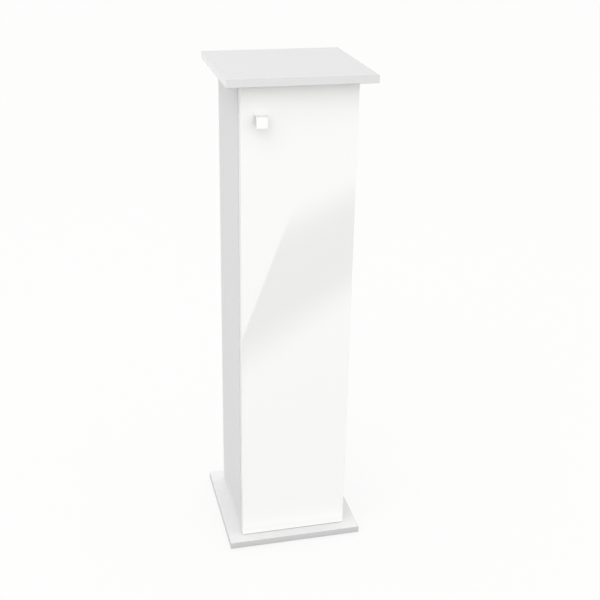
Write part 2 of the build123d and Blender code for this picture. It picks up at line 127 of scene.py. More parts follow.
class Finish:
    """A material with one Principled shader, and the nodes that feed it."""

    def __init__(self, name):
        self.material = bpy.data.materials.new(name)
        self.material.use_nodes = True
        self.tree = self.material.node_tree
        self.shader = self.tree.nodes["Principled BSDF"]

    def node(self, kind, settings=None, values=(), output=0):
        """Add a node: its settings first, then its sockets by order or by name."""
        made = self.tree.nodes.new("ShaderNode" + kind)
        for name, value in (settings or {}).items():
            setattr(made, name, value)
        pairs = values.items() if isinstance(values, dict) else enumerate(values)
        for key, value in pairs:
            self.join(made.inputs[key], value)
        return Wire(self, made.outputs[output])

    def join(self, socket, value):
        """Link a wire into a socket, or set the socket's own value."""
        if isinstance(value, Wire):
            self.tree.links.new(value.socket, socket)
        else:
            socket.default_value = value

    def shade(self, **values):
        """Set or link the shader's sockets; Base_Color means Base Color."""
        for name, value in values.items():
            self.join(self.shader.inputs[name.replace("_", " ")], value)
        return self.material

    def place(self):
        """The point's x, y and z on the piece, in metres."""
        where = self.node("TexCoord", output="Object")
        return [self.node("SeparateXYZ", values=[where], output=i) for i in range(3)]

    def between(self, value, low, high):
        """0 below low, 1 above high, and a smooth step in the middle."""
        settings = {"interpolation_type": "SMOOTHSTEP"}
        return self.node("MapRange", settings, {"Value": value, "From Min": low, "From Max": high})

    def noise(self, scale, detail=2.0, roughness=0.5, stretch=(1.0, 1.0, 1.0)):
        """Soft noise from 0 to 1, with its scale in patches for each metre."""
        where = self.node("TexCoord", output="Object")
        spread = self.node("Mapping", values={"Vector": where, "Scale": stretch})
        values = {"Vector": spread, "Scale": scale, "Detail": detail, "Roughness": roughness}
        return self.node("TexNoise", values=values, output="Fac")

    def cells(self, scale, output="Distance", stretch=(1.0, 1.0, 1.0)):
        """Random cells, for flakes and grains."""
        where = self.node("TexCoord", output="Object")
        spread = self.node("Mapping", values={"Vector": where, "Scale": stretch})
        return self.node("TexVoronoi", values={"Vector": spread, "Scale": scale}, output=output)

    def blend(self, amount, first, second):
        """A colour between two colours."""
        colours = {0: amount, MIX_FIRST: first, MIX_SECOND: second}
        return self.node("Mix", {"data_type": "RGBA"}, colours, output=MIX_COLOUR)

    def bump(self, height, depth, strength=1.0):
        """A normal from a height wire; depth is in metres."""
        values = {"Strength": strength, "Distance": depth, "Height": height}
        return self.node("Bump", values=values)


def grey(value):
    """A neutral colour."""
    return (value, value, value, 1.0)


def darker(colour, share):
    """The same colour with only a share of its light."""
    return [c * share for c in colour[:3]] + [1.0]


def paint(node_names, material):
    """Give drawn nodes a finish."""
    for name in node_names:
        nodes[name].data.materials.clear()
        nodes[name].data.materials.append(material)


# %% [markdown]
# ## The studio
#
# White furniture is shown on a white sweep, so that only its shading draws it. A sweep can be
# a curved sheet or simply a very wide floor. The wide floor is used here, because then every
# side of the plinth can be looked at. It glows as well as reflecting, like a lit table, which
# keeps the shadow round the foot soft and pale.
#
# Too much light thrown up from a white floor flattens a white object. So the bright floor is
# hidden from the light that bounces on to the plinth, and a greyer sheet under it stands in.

# %% The floor
FLOOR_HALF = 30.0
FLOOR_DROP = 0.02 * MM
FLOOR_TINT = (0.99, 0.99, 0.985, 1.0)
FLOOR_ALBEDO = 0.12
FLOOR_GLOW = 0.835
GROUND_ALBEDO = 0.34
GROUND_DROP = 0.3 * MM
PAPER_ROUGHNESS = 0.9


def sheet(name, low, high, level, finish):
    """A flat level sheet of the studio from one corner to the other, with its own finish."""
    shape = bmesh.new()
    corners = [(low[0], low[1]), (high[0], low[1]), (high[0], high[1]), (low[0], high[1])]
    shape.faces.new([shape.verts.new((x, y, level)) for x, y in corners])
    mesh = bpy.data.meshes.new(name)
    shape.to_mesh(mesh)
    shape.free()
    mesh.materials.append(finish)
    made = bpy.data.objects.new(name, mesh)
    bpy.context.scene.collection.objects.link(made)
    made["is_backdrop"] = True
    return made


def glowing_paper(name, paint_colour, light, glow):
    """Matt paper that also glows."""
    finish = Finish(name)
    return finish.shade(
        Base_Color=paint_colour,
        Roughness=PAPER_ROUGHNESS,
        Specular_IOR_Level=0.0,
        Emission_Color=light,
        Emission_Strength=glow,
    )


floor_level = drawn_low.z - FLOOR_DROP
floor_low = (-FLOOR_HALF, -FLOOR_HALF)
floor_high = (FLOOR_HALF, FLOOR_HALF)
floor_paper = glowing_paper("studio_floor", darker(FLOOR_TINT, FLOOR_ALBEDO), FLOOR_TINT, FLOOR_GLOW)
floor = sheet("floor", floor_low, floor_high, floor_level, floor_paper)
floor.visible_diffuse = False
ground_paper = glowing_paper("studio_ground", grey(GROUND_ALBEDO), FLOOR_TINT, 0.0)
ground = sheet("ground", floor_low, floor_high, floor_level - GROUND_DROP, ground_paper)
ground.visible_camera = False
ground.visible_glossy = False
print("floor laid at", round(floor_level, 6))

# %% [markdown]
# ## A reflector for the gloss
#
# A glossy white door only looks glossy if it mirrors something brighter than itself. So a bright
# sheet lies on the floor in front of it, and is seen in reflections only. A gap in the sheet
# gives the door a soft grey wedge, sharp on one side and faded on the others.

# %% The reflector and its gap
REFLECTOR_GLOW = 2.1
GAP_SHADE = 0.05
REFLECTOR_LOW = (-2.5, -6.5)
REFLECTOR_HIGH = (3.5, -0.165)
REFLECTOR_LIFT = 0.5 * MM
GAP_SIDES = {
    "sharp_side": {"start": (0.090, -1.242), "end": (0.470, -2.256), "fade": 0.01},
    "near_side": {"start": (0.562, -1.590), "end": (0.085, -1.097), "fade": 0.22},
    "far_side": {"start": (0.491, -2.304), "end": (0.873, -2.663), "fade": 0.38},
}


def gap_in_sheet(finish):
    """1 inside all the gap's sides and 0 outside. The gap is on the left of each side's way."""
    x, y, z = finish.place()
    gap = 1.0
    for side in GAP_SIDES.values():
        start = Vector(side["start"])
        way = (Vector(side["end"]) - start).normalized()
        left = Vector((-way.y, way.x))
        reach = x * left.x + y * left.y - left.dot(start)
        gap = finish.between(reach, -side["fade"] / 2, side["fade"] / 2) * gap
    return gap


finish = Finish("studio_reflector")
light = finish.blend(gap_in_sheet(finish), FLOOR_TINT, grey(GAP_SHADE))
reflector_glow = finish.shade(
    Base_Color=grey(0.0),
    Roughness=PAPER_ROUGHNESS,
    Specular_IOR_Level=0.0,
    Emission_Color=light,
    Emission_Strength=REFLECTOR_GLOW,
)
reflector = sheet("reflector", REFLECTOR_LOW, REFLECTOR_HIGH, floor_level + REFLECTOR_LIFT, reflector_glow)
reflector.visible_camera = False
reflector.visible_diffuse = False
reflector.visible_shadow = False
print("reflector laid,", round(REFLECTOR_HIGH[1] - REFLECTOR_LOW[1], 2), "m long")

# %% [markdown]
# ## The lights
#
# Most of the light is an even white from all round, as in a room with pale walls. One large
# square panel hangs high on the left and looks at the middle of the plinth. It is weak, and
# only makes the surfaces that face up and left a little brighter than the rest.

# %% The panel and the pale room
AIM = Vector((0.0, 0.0, 0.55))
ROOM_LIGHT = 1.30
PANEL_PLACE = Vector((-1.2, -1.2, 3.5))
PANEL_SIDE = 1.8
PANEL_POWER = 18.2


def make_panel(name, place, side, power):
    """A square panel of soft light that faces the plinth."""
    data = bpy.data.lights.new(name, "AREA")
    data.shape = "SQUARE"
    data.size = side
    data.energy = power
    panel = bpy.data.objects.new(name, data)
    panel.location = place
    panel.rotation_mode = "QUATERNION"
    panel.rotation_quaternion = (AIM - place).to_track_quat("-Z", "Y")
    bpy.context.scene.collection.objects.link(panel)
    return panel


high_panel = make_panel("high_panel", PANEL_PLACE, PANEL_SIDE, PANEL_POWER)
world = bpy.data.worlds.new("studio")
world.use_nodes = True
world.node_tree.nodes["Background"].inputs["Color"].default_value = (1.0, 1.0, 1.0, 1.0)
world.node_tree.nodes["Background"].inputs["Strength"].default_value = ROOM_LIGHT
bpy.context.scene.world = world
bpy.context.scene.view_settings.view_transform = "Standard"
print("one panel at", list(high_panel.location), "in a pale room")

# %% [markdown]
# ## The camera
#
# The plinth is seen from eye height, a little from its left, and the camera looks down at it.
# A camera looks along its own -Z, with +Y up, so its turn is a matrix of three directions.

# %% Camera
EYE = Vector((-0.5067, -2.1620, 1.5398))
HEADING = math.radians(14.18)
TILT_DOWN = math.radians(23.66)
ROLL = math.radians(1.07)
FOCAL_LENGTH = 62.58


def make_camera():
    """A camera at the eye point, turned by heading, tilt and roll."""
    ahead = Vector((math.sin(HEADING) * math.cos(TILT_DOWN),
                    math.cos(HEADING) * math.cos(TILT_DOWN),
                    -math.sin(TILT_DOWN)))
    level = Vector((math.cos(HEADING), -math.sin(HEADING), 0.0))
    upright = level.cross(ahead)
    right = level * math.cos(ROLL) + upright * math.sin(ROLL)
    up = upright * math.cos(ROLL) - level * math.sin(ROLL)
    data = bpy.data.cameras.new("camera")
    data.lens = FOCAL_LENGTH
    camera = bpy.data.objects.new("camera", data)
    turn = Matrix((right, up, -ahead)).transposed().to_4x4()
    camera.matrix_world = Matrix.Translation(EYE) @ turn
    bpy.context.scene.collection.objects.link(camera)
    bpy.context.scene.camera = camera
    return camera


camera = make_camera()
print("camera at", [round(v, 3) for v in camera.location])

# %% [markdown]
# ## Faced chipboard
#
# The boards are chipboard with a thin white paper-and-resin face, and plastic strips on their
# edges. Four things give it away at close range: a fine pearl in the face, strips that are a
# shade paler or darker than the face, a hair line where they meet, and brown flakes wherever a
# hole cuts through. On the plates and side panels these differing greys are painted light and
# shade on what is one white. One rule finds them all. It measures how deep a point lies below
# each pair of the board's outer faces.

# %% Chipboard with white faces
SKIN = 0.42 * MM
CORE_START = SKIN * 1.25
BAND = 1.0 * MM
BAND_LINE = 0.14 * MM
PAPER_RELIEF = 0.06 * MM
MOTTLE_GRAIN = 9.0
PEARL_GRAIN = 1400.0
SCUFF_GRAIN = 38.0
FLAKE_GRAIN = 420.0
RAW_ROUGHNESS = 0.9
GLUE = (0.45, 0.44, 0.42, 1.0)
FLAKE = (0.43, 0.30, 0.18, 1.0)
FLAKE_DARK = (0.24, 0.15, 0.08, 1.0)


def depths(finish, low, high):
    """How far a point lies inside the box, along X, Y and Z."""
    where = finish.place()
    return [(w - low[i]).least(high[i] - w) for i, w in enumerate(where)]


def chipboard(name, low, high, face, strip, end_strip, thin_axis, gloss=0.36):
    """White faced chipboard for one board that fills the box from low to high."""
    finish = Finish(name)
    depth = depths(finish, low, high)
    inside = [finish.between(d, SKIN, CORE_START) for d in depth]
    core = inside[0] * inside[1] * inside[2]
    others = [depth[i] for i in range(3) if i != thin_axis]
    to_edge = others[0].least(others[1])
    on_face = 1 - finish.between(depth[thin_axis], SKIN, CORE_START)
    line = (1 - finish.between(abs(to_edge - BAND), BAND_LINE / 2, BAND_LINE)) * on_face
    mottle = finish.noise(MOTTLE_GRAIN, 3.0)
    pearl = finish.noise(PEARL_GRAIN, 2.0)
    # On the top and base plates the end strips take another grey than the front and back strips; that
    # difference is painted light and shade.
    on_end = finish.between(others[1] - others[0], -SKIN, SKIN)
    skin = finish.blend(on_face, finish.blend(on_end, strip, end_strip), face)
    clean = finish.blend(mottle * 0.02, skin, GLUE)
    lined = finish.blend(line * 0.35, clean, GLUE)
    flakes = finish.cells(FLAKE_GRAIN, "Color", (1.0, 1.0, 2.2))
    tone = finish.node("RGBToBW", values=[flakes])
    brown = finish.blend(tone, FLAKE_DARK, FLAKE)
    scuffs = finish.between(finish.noise(SCUFF_GRAIN, 5.0, 0.62, (1.0, 1.0, 0.3)), 0.60, 0.74)
    surface = gloss + scuffs * 0.08 + pearl * 0.05
    rough = surface * (1 - core) + core * RAW_ROUGHNESS
    relief = pearl * (1 - core) * 0.25 - line * 0.6 + tone * core * 3.0
    return finish.shade(
        Base_Color=finish.blend(core, lined, brown),
        Roughness=rough,
        Normal=finish.bump(relief, PAPER_RELIEF, 0.6),
        IOR=1.5,
    )


# Painted light and shade: the greys below differ between boards, and between a plate's front and end
# strips, to copy how light falls on one white melamine. The top plate's face and its front and back strips,
# the base plate's face and strips, and the side panels' faces carry painted shade.
STRIP_WHITE = grey(0.84)
PANEL = {"face": grey(0.69), "strip": STRIP_WHITE, "end_strip": STRIP_WHITE, "thin_axis": 0}
SHELF = {"face": grey(0.80), "strip": STRIP_WHITE, "end_strip": STRIP_WHITE, "thin_axis": 2}
BOARDS = {
    "top_plate": {"face": grey(0.485), "strip": grey(0.735), "end_strip": STRIP_WHITE, "thin_axis": 2},
    "base_plate": {"face": grey(0.69), "strip": grey(0.57), "end_strip": grey(0.60), "thin_axis": 2},
    "side_panel_left": PANEL,
    "side_panel_right": PANEL,
    "fixed_shelf": SHELF,
    "upper_shelf": SHELF,
    "lower_shelf": SHELF,
}
for name, looks in BOARDS.items():
    low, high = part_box(name)
    paint([name], chipboard("faced_" + name, low, high, **looks))
print(len(BOARDS), "boards faced")

# %% [markdown]
# ## The door's lacquer
#
# The door is fibreboard under a hard clear gloss. A matt white under a clear coat gives that:
# the white takes the soft light and the coat mirrors the studio. The white under the coat isn't
# quite flat. It has a shallow ripple, which painters call orange peel.

# %% Gloss lacquer
DOOR_SKIN = 1.7 * MM
DOOR_ROUND = 0.8 * MM
LACQUER = (0.955, 0.953, 0.937, 1.0)
# Painted shade: the door's edges and edge rounds get this darker grey, though its lacquer is one white all
# round.
DOOR_EDGE_PAINTED_SHADE = grey(0.78)
FIBRE = (0.50, 0.38, 0.25, 1.0)
FIBRE_DARK = (0.30, 0.21, 0.13, 1.0)
PEEL_RELIEF = 0.012 * MM
PEEL_GRAIN = 220.0
CLOUD_GRAIN = 5.0
FIBRE_GRAIN = 2600.0
MARK_GRAIN = 60.0


def lacquer(name, low, high, colour):
    """Glossy white lacquer on fibreboard, with painted shade on its edges and bare fibre inside the bores.
    """
    finish = Finish(name)
    depth = depths(finish, low, high)
    inside = [finish.between(d, DOOR_SKIN, DOOR_SKIN * 1.1) for d in depth]
    core = inside[0] * inside[1] * inside[2]
    on_face = 1 - finish.between(depth[1], DOOR_ROUND, DOOR_ROUND * 1.3)
    peel = finish.noise(PEEL_GRAIN, 2.0, 0.4)
    cloud = finish.noise(CLOUD_GRAIN, 2.0)
    clean = finish.blend(cloud, darker(colour, 0.99), colour)
    # Painted shade on the door's edges, wherever on_face is 0.
    white = finish.blend(on_face, DOOR_EDGE_PAINTED_SHADE, clean)
    fibre = finish.blend(finish.noise(FIBRE_GRAIN, 3.0), FIBRE_DARK, FIBRE)
    marks = finish.between(finish.noise(MARK_GRAIN, 6.0, 0.65, (1.0, 1.0, 0.15)), 0.64, 0.80)
    return finish.shade(
        Base_Color=finish.blend(core, white, fibre),
        Roughness=(0.22 + marks * 0.06) * (1 - core) + core * RAW_ROUGHNESS,
        Coat_Weight=1 - core,
        Coat_Roughness=0.01,
        Coat_IOR=1.6,
        Specular_IOR_Level=0.0,
        Normal=finish.bump(peel, PEEL_RELIEF, 0.5),
    )


low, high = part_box("door_panel")
paint(["door_panel"], lacquer("lacquered_door", low, high, LACQUER))
print("door lacquered")

# %% [markdown]
# ## The knob
#
# The knob is one moulding in hard gloss plastic. It has the same clear sparkle as the door, but
# its skin is a little softer, with the faint swirl that a mould leaves. Its two flanks carry a
# greyer painted shade, and its top and underside a lighter painted shade between them and the
# front; the moulding itself is one white.

# %% Knob gloss
KNOB_WHITE = (0.94, 0.94, 0.925, 1.0)
# Painted shade: these two greys darken the top, underside and flanks of a knob that is one white.
KNOB_TOP_PAINTED_SHADE = (0.74, 0.74, 0.73, 1.0)
KNOB_FLANK_PAINTED_SHADE = (0.50, 0.50, 0.49, 1.0)
KNOB_SWIRL = (0.55, 0.55, 0.54, 1.0)
KNOB_ROUND = 0.7 * MM
KNOB_SHADE_END = KNOB_ROUND * 1.4
SWIRL_RELIEF = 0.01 * MM
SWIRL_GRAIN = 160.0
RUB_GRAIN = 420.0


def gloss_moulding(name, low, high, front, top, painted_flank):
    """Hard glossy plastic, white at the front, with painted shade on top and on the flanks."""
    finish = Finish(name)
    at_front = 1 - finish.between(finish.place()[1], low.y + KNOB_ROUND, low.y + KNOB_SHADE_END)
    flank_painted_shade = 1 - finish.between(depths(finish, low, high)[0], KNOB_ROUND, KNOB_SHADE_END)
    # Painted shade on the top, underside and flanks; only the front keeps the knob's white.
    skin = finish.blend(at_front, finish.blend(flank_painted_shade, top, painted_flank), front)
    swirl = finish.noise(SWIRL_GRAIN, 3.0, 0.6)
    rubbed = finish.between(finish.noise(RUB_GRAIN, 4.0, 0.6), 0.60, 0.76)
    return finish.shade(
        Base_Color=finish.blend(swirl * 0.03, skin, KNOB_SWIRL),
        Roughness=0.24 + rubbed * 0.10,
        Coat_Weight=0.8,
        Coat_Roughness=0.05,
        IOR=1.5,
        Normal=finish.bump(swirl, SWIRL_RELIEF, 0.4),
    )


low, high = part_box("door_knob")
paint(["door_knob"], gloss_moulding("knob_gloss", low, high, KNOB_WHITE, KNOB_TOP_PAINTED_SHADE, KNOB_FLANK_PAINTED_SHADE))
print("knob finished")

# %% [markdown]
# ## The back panel
#
# The back is thin hardboard, white on both faces. It is pressed from fibre, so its paint lies
# over a fine felt-like texture, and its cut edges stay brown inside the grooves.

# %% Painted hardboard
HARDBOARD_WHITE = grey(0.84)
HARDBOARD_BROWN = (0.38, 0.26, 0.16, 1.0)
HARDBOARD_DARK = (0.20, 0.12, 0.07, 1.0)
HARDBOARD_SKIN = 0.3 * MM
FELT_RELIEF = 0.05 * MM
FELT_GRAIN = 900.0
PAINT_GRAIN = 14.0


def hardboard(name, low, high):
    """Thin painted hardboard with brown fibre at its cut edges."""
    finish = Finish(name)
    depth_y = depths(finish, low, high)[1]
    raw = finish.between(depth_y, HARDBOARD_SKIN, HARDBOARD_SKIN * 1.3)
    felt = finish.noise(FELT_GRAIN, 5.0, 0.7)
    cloud = finish.noise(PAINT_GRAIN, 3.0)
    white = finish.blend(cloud, darker(HARDBOARD_WHITE, 0.975), HARDBOARD_WHITE)
    brown = finish.blend(felt, HARDBOARD_DARK, HARDBOARD_BROWN)
    return finish.shade(
        Base_Color=finish.blend(raw, white, brown),
        Roughness=0.52 + felt * 0.12 + raw * 0.25,
        Normal=finish.bump(felt, FELT_RELIEF, 0.7),
    )


low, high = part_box("back_panel")
paint(["back_panel"], hardboard("hardboard_back", low, high))
print("back finished")

# %% [markdown]
# ## Metals
#
# The pins, bolts and screws are steel with thin bright plating. Drawing and turning leave fine
# lines round or along them, and plating gathers in faint clouds. The cams are cast zinc: duller,
# with a grain like an orange skin. Both are made by one function with different numbers.

# %% Plated steel and cast zinc
PLATING_GRAIN = 90.0


def metal(name, colour, gloss, grain, stretch, relief):
    """Bare or plated metal, with its lines drawn out along the long side of the stretch."""
    finish = Finish(name)
    lines = finish.noise(grain, 3.0, 0.6, stretch)
    cloud = finish.noise(PLATING_GRAIN, 3.0, 0.6)
    dull = darker(colour, 0.80)
    return finish.shade(
        Base_Color=finish.blend(cloud, dull, colour),
        Metallic=1.0,
        Roughness=gloss + lines * 0.14 + cloud * 0.06,
        Normal=finish.bump(lines, relief, 0.5),
    )


EVEN = (1.0, 1.0, 1.0)
ALONG_X = (0.05, 1.0, 1.0)
ALONG_Y = (1.0, 0.05, 1.0)
ALONG_Z = (1.0, 1.0, 0.05)
STEEL = (0.70, 0.71, 0.73, 1.0)
NICKEL = (0.76, 0.74, 0.70, 1.0)
ZINC = (0.56, 0.57, 0.59, 1.0)
DRAWN_RELIEF = 0.01 * MM
CAST_RELIEF = 0.04 * MM
METALS = {
    "upright_steel": (STEEL, 0.22, 3200.0, ALONG_Z, DRAWN_RELIEF),
    "level_steel": (STEEL, 0.22, 3200.0, ALONG_X, DRAWN_RELIEF),
    "screw_steel": (STEEL, 0.26, 3600.0, ALONG_Y, DRAWN_RELIEF),
    "pole_steel": (STEEL, 0.30, 2600.0, ALONG_X, DRAWN_RELIEF),
    "pin_nickel": (NICKEL, 0.20, 3000.0, ALONG_X, DRAWN_RELIEF),
    "cast_zinc": (ZINC, 0.40, 1500.0, EVEN, CAST_RELIEF),
}
metals = {name: metal(name, *look) for name, look in METALS.items()}
paint(["top_cam_bolts", "base_cam_bolts", "pivot_pin_top", "pivot_pin_base"], metals["upright_steel"])
paint(["shelf_cam_bolts"], metals["level_steel"])
paint(["knob_screw", "strike_screw", "catch_screws"], metals["screw_steel"])
paint(["catch_strike", "catch_poles"], metals["pole_steel"])
paint([name for name in nodes if "_shelf_pin_" in name], metals["pin_nickel"])
paint(["top_cams", "base_cams", "shelf_cams"], metals["cast_zinc"])
print(len(metals), "metals made")

# %% [markdown]
# ## Small mouldings
#
# Caps, bushes, glides and the catch body are matt plastic. Their moulds are spark-eroded, which
# leaves a fine even grain that scatters the light. The bumpers are soft and slightly milky, and
# the magnet is pressed ferrite, nearly black.

# %% Matt plastic, soft bumper and ferrite
SPARK_GRAIN = 2600.0
SPARK_RELIEF = 0.02 * MM
TINT_GRAIN = 120.0
DUST_GRAIN = 1800.0
DUST_RELIEF = 0.008 * MM


def matt_moulding(name, colour, gloss, grain=SPARK_GRAIN, relief=SPARK_RELIEF):
    """Matt plastic with spark-eroded grain."""
    finish = Finish(name)
    sparks = finish.noise(grain, 2.0, 0.5)
    cloud = finish.noise(TINT_GRAIN, 2.0)
    return finish.shade(
        Base_Color=finish.blend(cloud, darker(colour, 0.965), colour),
        Roughness=gloss + sparks * 0.12,
        Normal=finish.bump(sparks, relief, 0.6),
    )


def soft_bumper(name, colour):
    """A milky, rubbery bumper."""
    finish = Finish(name)
    dust = finish.noise(DUST_GRAIN, 4.0, 0.7)
    return finish.shade(
        Base_Color=finish.blend(dust, darker(colour, 0.93), colour),
        Roughness=0.34 + dust * 0.2,
        Subsurface_Weight=0.35,
        Subsurface_Scale=0.5 * MM,
        Normal=finish.bump(dust, DUST_RELIEF, 0.5),
    )


CAP_WHITE = grey(0.80)
BUSH_WHITE = (0.82, 0.81, 0.77, 1.0)
GLIDE_WHITE = (0.76, 0.75, 0.72, 1.0)
BUMPER_MILK = (0.78, 0.79, 0.78, 1.0)
FERRITE = (0.055, 0.053, 0.056, 1.0)
cap_plastic = matt_moulding("cap_plastic", CAP_WHITE, 0.40)
glide_plastic = matt_moulding("glide_plastic", GLIDE_WHITE, 0.42, 1900.0)
bumper_rubber = soft_bumper("bumper_rubber", BUMPER_MILK)
paint(["pivot_bush_top", "pivot_bush_base"], matt_moulding("bush_nylon", BUSH_WHITE, 0.38))
paint(["catch_body"], matt_moulding("catch_plastic", CAP_WHITE, 0.44))
paint(["catch_magnet"], matt_moulding("ferrite", FERRITE, 0.55, 1400.0, 0.05 * MM))
print("mouldings finished")

# %% [markdown]
# ## Pieces turned from a profile
#
# Caps, bumpers and glides are round, so each is a profile spun about its axis. The profile is a
# short list of radius and height pairs, from the middle of one end to the middle of the other.
# Modelling one and copying it would do as well, but a profile is easier to read and to change.

# %% Turn a profile
TURNED_SIDES = 40
TURNED_SHARP = math.radians(35)


def turned(shape, profile, centre, axis):
    """Spin (radius, height) pairs about an axis through a centre, and close both ends."""
    aside = axis.orthogonal().normalized()
    across = axis.cross(aside)
    rings = []
    for radius, height in profile:
        middle = centre + axis * height
        steps = [2 * math.pi * i / TURNED_SIDES for i in range(TURNED_SIDES)]
        spots = [middle + (aside * math.cos(a) + across * math.sin(a)) * radius for a in steps]
        rings.append([shape.verts.new(spot) for spot in (spots if radius else [middle])])
    for ring, after in zip(rings, rings[1:]):
        for i in range(TURNED_SIDES):
            j = (i + 1) % TURNED_SIDES
            near = [ring[i % len(ring)], ring[j % len(ring)]]
            far = [after[j % len(after)], after[i % len(after)]]
            shape.faces.new(list(dict.fromkeys(near + far)))


def finished(shape, name, material, body, replaced=()):
    """Make a piece of a mesh in progress and fix it to its body."""
    bmesh.ops.recalc_face_normals(shape, faces=shape.faces)
    mesh = bpy.data.meshes.new(name)
    shape.to_mesh(mesh)
    shape.free()
    mesh.shade_smooth()
    mesh.set_sharp_from_angle(angle=TURNED_SHARP)
    mesh.materials.append(material)
    piece = bpy.data.objects.new(name, mesh)
    bpy.context.scene.collection.objects.link(piece)
    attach(piece, body)
    if replaced:
        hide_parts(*replaced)
    print(name, len(mesh.polygons), "faces")
    return piece


def corner(radius, top, bend, steps=4):
    """The quarter round between a side of this radius and a flat at this height."""
    angles = [math.pi / 2 * i / steps for i in range(steps + 1)]
    return [(radius - bend + bend * math.sin(a), top - bend + bend * math.cos(a)) for a in angles]


# %% [markdown]
# ### Cam caps
#
# A cap presses over each cam. It is a thin disc with a rounded rim and a shallow dished face,
# and its underside lies on the board.

# %% Cam caps
CAP_RADIUS = 8.5 * MM
CAP_DISH = 0.18 * MM
CAP_RIM = 1.1 * MM
CAP_BEND = 0.7


def group_corners(node, radius, axis):
    """The low and high centre, along X, Y and Z, of the round pieces in a drawn group."""
    low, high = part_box(node)
    ranges = []
    for i in range(3):
        inset = 0.0 if i == axis else radius
        ranges.append((low[i] + inset, high[i] - inset))
    return ranges


def cap_profile(thickness):
    """A dished disc with a raised, rounded rim."""
    rim = corner(CAP_RADIUS, thickness, thickness * CAP_BEND)
    dish = [(0.0, thickness - CAP_DISH), (CAP_RADIUS - 2 * CAP_RIM, thickness - CAP_DISH)]
    return dish + [(CAP_RADIUS - CAP_RIM * 1.4, thickness)] + rim + [(CAP_RADIUS, 0.0), (0.0, 0.0)]


cap_low, cap_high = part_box("shelf_cam_caps")
cap_shape = cap_profile(cap_high.z - cap_low.z)
for level in ("top", "base"):
    (x0, x1), (y0, y1), (z0, z1) = group_corners(level + "_cam_caps", CAP_RADIUS, 0)
    shape = bmesh.new()
    for y in (y0, y1):
        turned(shape, cap_shape, Vector((x0, y, z0)), Vector((1, 0, 0)))
        turned(shape, cap_shape, Vector((x1, y, z0)), Vector((-1, 0, 0)))
    finished(shape, level + "_caps", cap_plastic, "cabinet", [level + "_cam_caps"])

(x0, x1), (y0, y1), (z0, z1) = group_corners("shelf_cam_caps", CAP_RADIUS, 2)
shape = bmesh.new()
for x in (x0, x1):
    for y in (y0, y1):
        turned(shape, cap_shape, Vector((x, y, z1)), Vector((0, 0, -1)))
finished(shape, "shelf_caps", cap_plastic, "cabinet", ["shelf_cam_caps"])

# %% [markdown]
# ### Bumpers and glides
#
# The bumper is a small dome with a flattened top where the door meets it. The glide is a
# shallow foot with a well in its middle, which hides the head of the nail that holds it.

# %% Bumpers and glides
BUMPER_DOME = [(0.0, 1.0), (0.45, 1.0), (0.66, 0.93), (0.84, 0.72), (0.95, 0.42), (1.0, 0.15)]
WELL_RADIUS = 2.6 * MM
WELL_DEPTH = 1.1 * MM
WELL_EASE = 0.2 * MM
SOLE_BEND = 0.55
NAIL_RADIUS = 1.0 * MM
NAIL_POINT = 2.0 * MM
NAIL_HEAD_RADIUS = 2.2 * MM
NAIL_HEAD = 0.6 * MM
NAIL_HEAD_EASE = 0.2 * MM
NAIL_FLAT = 0.8

for level in ("top", "base"):
    low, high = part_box("door_buffer_" + level)
    centre = (low + high) / 2
    seat = Vector((centre.x, high.y, centre.z))
    radius = (high.x - low.x) / 2
    height = high.y - low.y
    dome = [(radius * out, height * up) for out, up in BUMPER_DOME]
    shape = bmesh.new()
    turned(shape, dome + [(radius, 0.0), (0.0, 0.0)], seat, Vector((0, -1, 0)))
    finished(shape, "bumper_" + level, bumper_rubber, "cabinet", ["door_buffer_" + level])

plate_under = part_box("base_plate")[0].z
for corner_name in ("front_left", "front_right", "rear_left", "rear_right"):
    low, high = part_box("glide_" + corner_name)
    foot = Vector(((low.x + high.x) / 2, (low.y + high.y) / 2, plate_under))
    radius = (high.x - low.x) / 2
    height = plate_under - low.z
    floor_of_well = height - WELL_DEPTH
    well = [(0.0, floor_of_well), (WELL_RADIUS, floor_of_well), (WELL_RADIUS, height - WELL_EASE)]
    sole = [(WELL_RADIUS + WELL_EASE, height)] + corner(radius, height, height * SOLE_BEND)
    replaced = ["glide_" + corner_name]
    shape = bmesh.new()
    turned(shape, well + sole + [(radius, 0.0), (0.0, 0.0)], foot, Vector((0, 0, -1)))
    finished(shape, "foot_" + corner_name, glide_plastic, "cabinet", replaced)
    head_top = floor_of_well + NAIL_HEAD
    head = [(0.0, head_top), (NAIL_HEAD_RADIUS * NAIL_FLAT, head_top)]
    head.append((NAIL_HEAD_RADIUS, head_top - NAIL_HEAD_EASE))
    shank = [(NAIL_HEAD_RADIUS, floor_of_well), (NAIL_RADIUS, floor_of_well)]
    point = [(NAIL_RADIUS, plate_under - high.z + NAIL_POINT), (0.0, plate_under - high.z)]
    shape = bmesh.new()
    turned(shape, head + shank + point, foot, Vector((0, 0, -1)))
    finished(shape, "foot_nail_" + corner_name, metals["upright_steel"], "cabinet")

# %% [markdown]
# ## Rules for what repeats
#
# Some pieces follow a rule: a shelf is a core with a strip mitred round it, a dowel is a rod
# with flutes, and panel nails stand in a row. Geometry Nodes hold such rules. Each tree below
# has named inputs for its sizes, so one tree can make every piece of its kind. The result is
# kept as a plain mesh.

# %% A rule and what grows from it
GROWN_SHARP = math.radians(30)
SHADER_KINDS = ("Math", "VectorMath", "CombineXYZ", "SeparateXYZ")
SOCKETS = {
    float: "NodeSocketFloat",
    int: "NodeSocketInt",
    tuple: "NodeSocketVector",
    bpy.types.Material: "NodeSocketMaterial",
}


